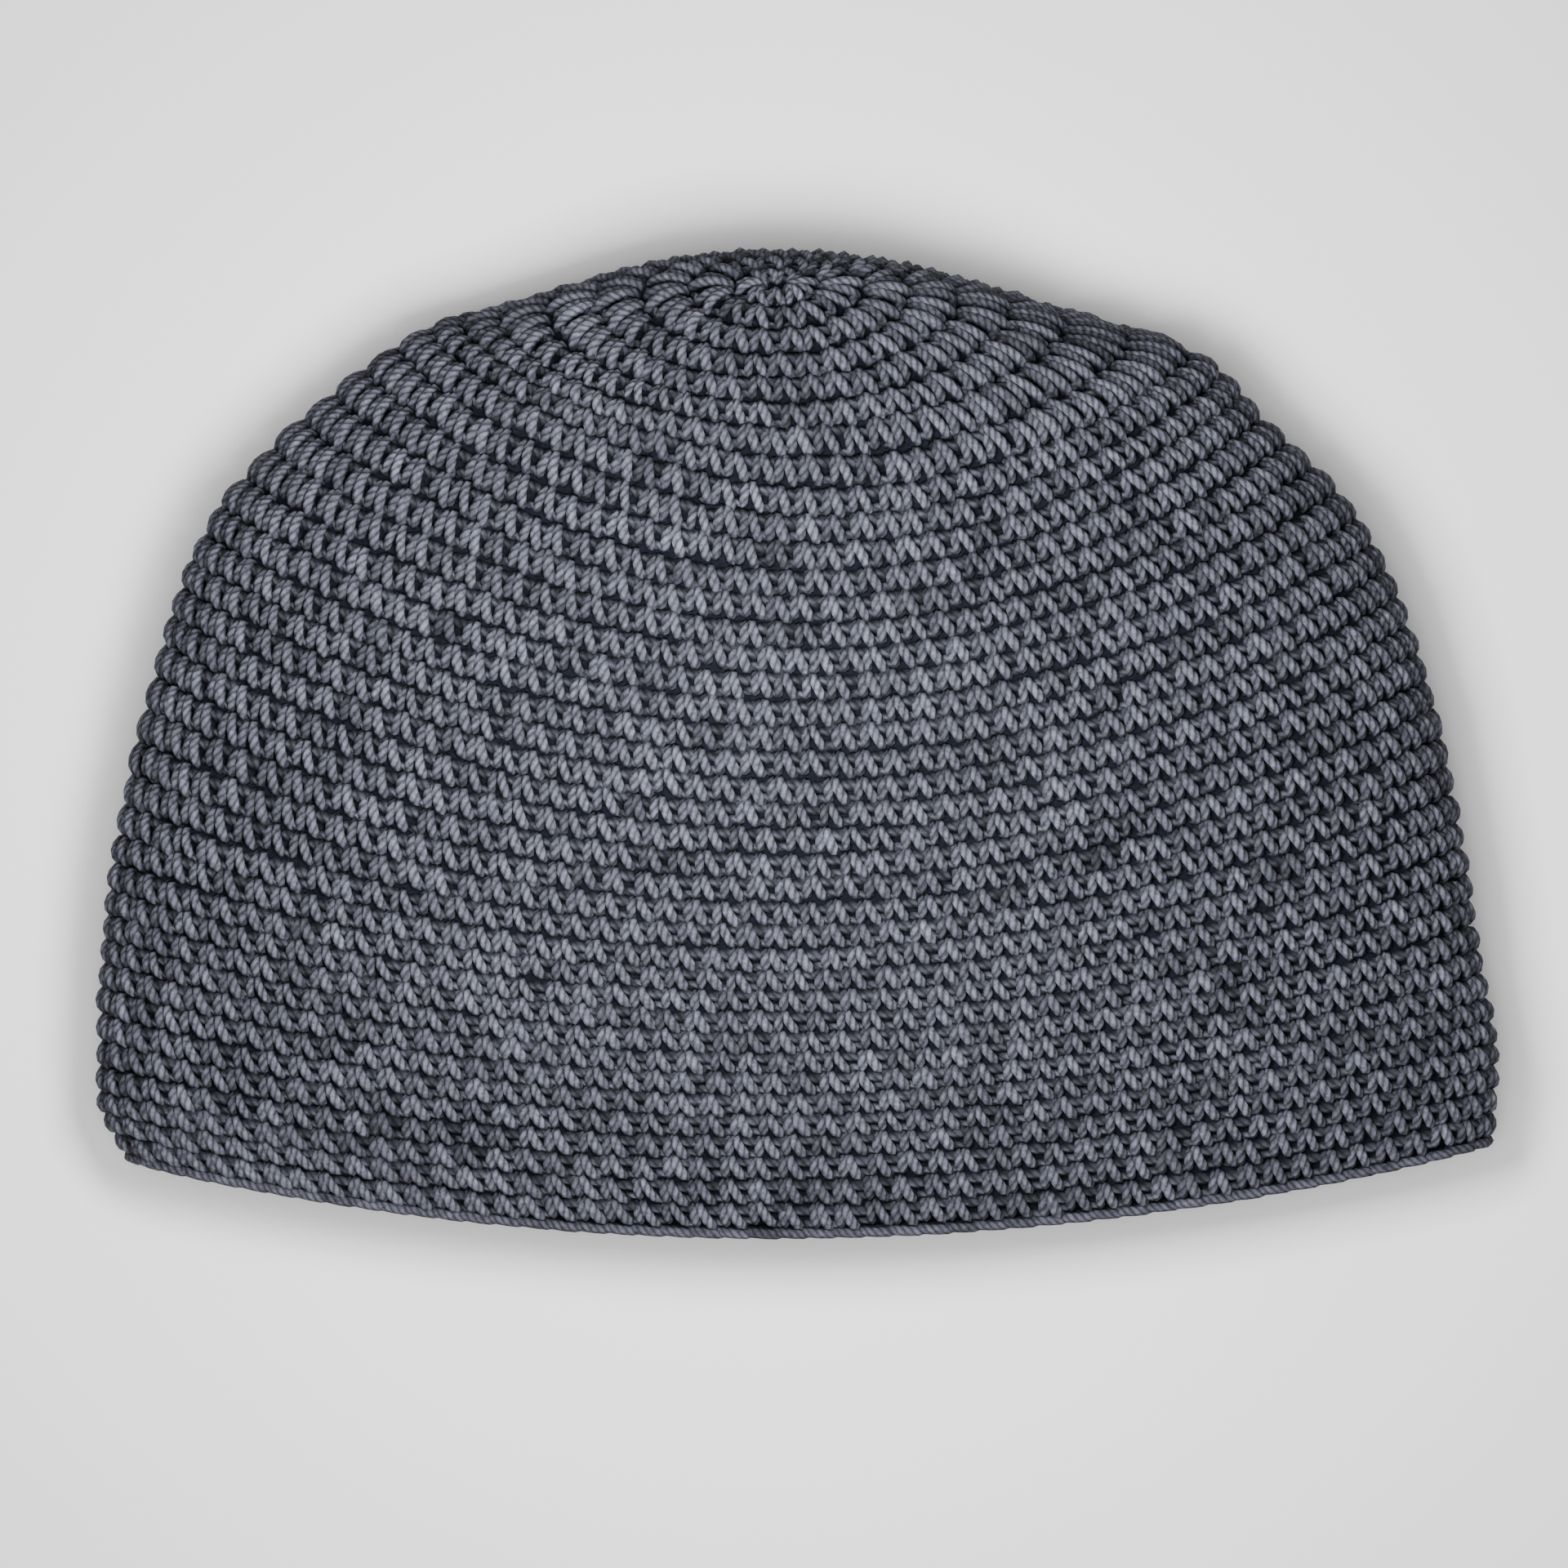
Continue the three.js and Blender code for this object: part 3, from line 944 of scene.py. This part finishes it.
def shadow_material(name):
    material = bpy.data.materials.new(name)
    material.use_nodes = True
    tree = material.node_tree
    shader = tree.nodes["Principled BSDF"]
    shader.inputs["Roughness"].default_value = 1.0
    shader.inputs["Specular IOR Level"].default_value = 0.0
    ramp = add_node(tree, "ShaderNodeValToRGB")
    ramp.color_ramp.elements[0].color = SHADOW_LOW
    ramp.color_ramp.elements[1].color = SHADOW_HIGH
    fuzz = use_group(tree, FIBRE_FUZZ, FIBRES).outputs["Fuzz"]
    tree.links.new(fuzz, ramp.inputs["Fac"])
    inside = add_node(tree, "ShaderNodeAttribute", attribute_name="inside")
    gain = calculate(tree, "MULTIPLY_ADD", inside.outputs["Fac"], INSIDE_GAIN, 1.0)
    scaled = add_node(tree, "ShaderNodeVectorMath", operation="SCALE")
    tree.links.new(ramp.outputs["Color"], scaled.inputs["Vector"])
    tree.links.new(gain, scaled.inputs["Scale"])
    tree.links.new(scaled.outputs["Vector"], shader.inputs["Base Color"])
    return material


behind = shadow_material("yarn_in_shadow")
for piece in stitches.values():
    piece.data.materials.append(yarn)
edge.data.materials.append(edge_yarn)
core.data.materials.append(behind)
print("pieces with a finish:", len(stitches) + 2)

# %% [markdown]
# The cap has no moving parts, so every piece rides on the one body. The stitches and the shell
# behind them stand for the solid fabric, and the slip stitches for the solid finishing round.

# %% Hand the pieces to the frame
for piece in [*stitches.values(), core]:
    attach(piece, "root")
    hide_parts("cap_shell")
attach(edge, "root")
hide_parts("edge_round")
print("pieces on the root body:", [piece.name for piece in [*stitches.values(), core, edge]])

# %% [markdown]
# The cap lies on a pale matte table in a pale room. A room that gives a little light from all
# sides keeps the shadows soft, and the table throws some up at the folds.

# %% The table and the room
FLOOR_SIZE = 8.0
FLOOR_COLOUR = (0.85, 0.85, 0.85, 1)
ROOM_LIGHT = 0.4

bm = bmesh.new()
bmesh.ops.create_grid(bm, x_segments=1, y_segments=1, size=FLOOR_SIZE / 2)
floor_mesh = bpy.data.meshes.new("floor")
bm.to_mesh(floor_mesh)
bm.free()
floor = bpy.data.objects.new("floor", floor_mesh)
bpy.context.scene.collection.objects.link(floor)
floor_paint = bpy.data.materials.new("pale_floor")
floor_paint.use_nodes = True
floor_shader = floor_paint.node_tree.nodes["Principled BSDF"]
floor_shader.inputs["Base Color"].default_value = FLOOR_COLOUR
floor_shader.inputs["Roughness"].default_value = 0.9
floor.data.materials.append(floor_paint)

room = bpy.data.worlds.new("pale_room")
room.use_nodes = True
background = room.node_tree.nodes["Background"]
background.inputs["Color"].default_value = (1, 1, 1, 1)
background.inputs["Strength"].default_value = ROOM_LIGHT
bpy.context.scene.world = room
print("table is", FLOOR_SIZE, "metres wide")

# %% [markdown]
# Three soft lights, as in a small studio. A broad one overhead lights the table and the whole cap.
# A small one hangs close over the cap's middle, so its light falls off towards the folds and
# shows how round the cap is. A weak one stands in front, and lets the eye into the mouth. Each is
# turned to face the origin, and the last two are hidden from the camera itself.


# %% The lights
def soft_light(name, place, size, power):
    lamp = bpy.data.lights.new(name, "AREA")
    lamp.size = size
    lamp.energy = power
    holder = bpy.data.objects.new(name, lamp)
    bpy.context.scene.collection.objects.link(holder)
    holder.location = place
    aim_x, aim_y, aim_z = (-value for value in place)
    tilt = math.atan2(math.hypot(aim_x, aim_y), -aim_z)
    holder.rotation_euler = (tilt, 0, math.atan2(aim_y, aim_x) - math.pi / 2)
    return holder


softbox = soft_light("overhead_softbox", (-0.15, -0.2, 2.2), size=1.0, power=36)
close_key = soft_light("close_key", (-0.012, -0.004, 0.27), size=0.1, power=1.65)
mouth_fill = soft_light("mouth_fill", (0.0, -1.5, 0.3), size=0.8, power=6)
for light in (close_key, mouth_fill):
    light.visible_camera = False
print("lights:", softbox.name, close_key.name, mouth_fill.name)

# %% [markdown]
# The camera looks straight down through a long lens from far away, so that the puffed front isn't
# made larger than the sides. Its distance follows from the width it has to show.

# %% The camera
VIEW_CENTRE = (-0.00267, -0.0073)
VIEW_WIDTH = 0.3014
FOCUS_HEIGHT = 0.018
LENS = 200
SENSOR = 36

camera_data = bpy.data.cameras.new("camera")
camera_data.lens = LENS
camera_data.sensor_width = SENSOR
camera_data.clip_end = 20
camera = bpy.data.objects.new("camera", camera_data)
bpy.context.scene.collection.objects.link(camera)
camera.location = (*VIEW_CENTRE, FOCUS_HEIGHT + VIEW_WIDTH * LENS / SENSOR)
bpy.context.scene.camera = camera
print("camera height in metres:", round(camera.location.z, 3))
